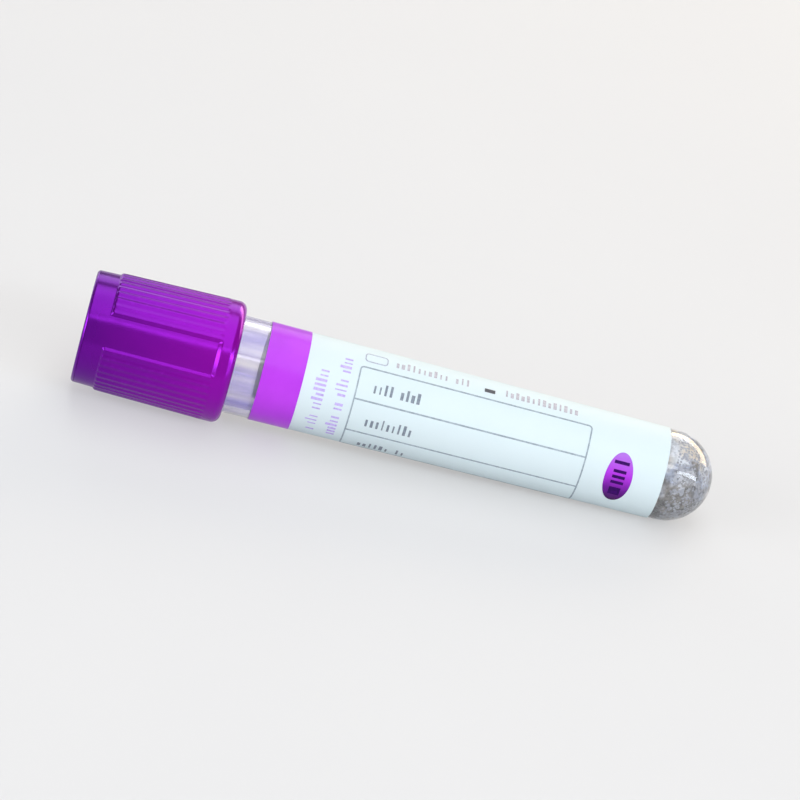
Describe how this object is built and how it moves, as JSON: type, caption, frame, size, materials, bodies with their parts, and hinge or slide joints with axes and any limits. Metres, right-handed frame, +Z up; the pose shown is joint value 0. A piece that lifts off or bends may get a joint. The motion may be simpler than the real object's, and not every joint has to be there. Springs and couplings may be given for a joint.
{
  "type": "blood collection tube",
  "caption": "Clear round-bottomed plastic tube lying on its side, with a wrapped form label and a ribbed purple cap that holds a grey rubber stopper.",
  "frame": {"origin": "on the ground under the middle of the lying tube's bounding box", "axes": "+X from the cap towards the round bottom, +Z up; the tube's axis leans up towards the cap, because the cap is wider than the barrel"},
  "size_m": [0.0844, 0.016, 0.0163],
  "materials": {
    "clear_plastic": "clear, polished mould",
    "dried_salt": "dried droplets",
    "label_film": "satin film",
    "purple_ink": "printed",
    "grey_ink": "printed lines",
    "grey_rubber": "satin moulded rubber",
    "purple_plastic": "glossy moulded"
  },
  "bodies": {
    "tube_body": {"tube": "clear_plastic", "dried_additive": "dried_salt", "label": "label_film", "colour_print": "purple_ink", "form_print": "grey_ink"},
    "closure": {"stopper": "grey_rubber", "cap": "purple_plastic"}
  },
  "joints": [
    {"name": "closure_pull", "type": "slide", "parent": "tube_body", "child": "closure", "axis": [-0.9994, 0, 0.0343], "range_m": [0, 0.025]}
  ]
}
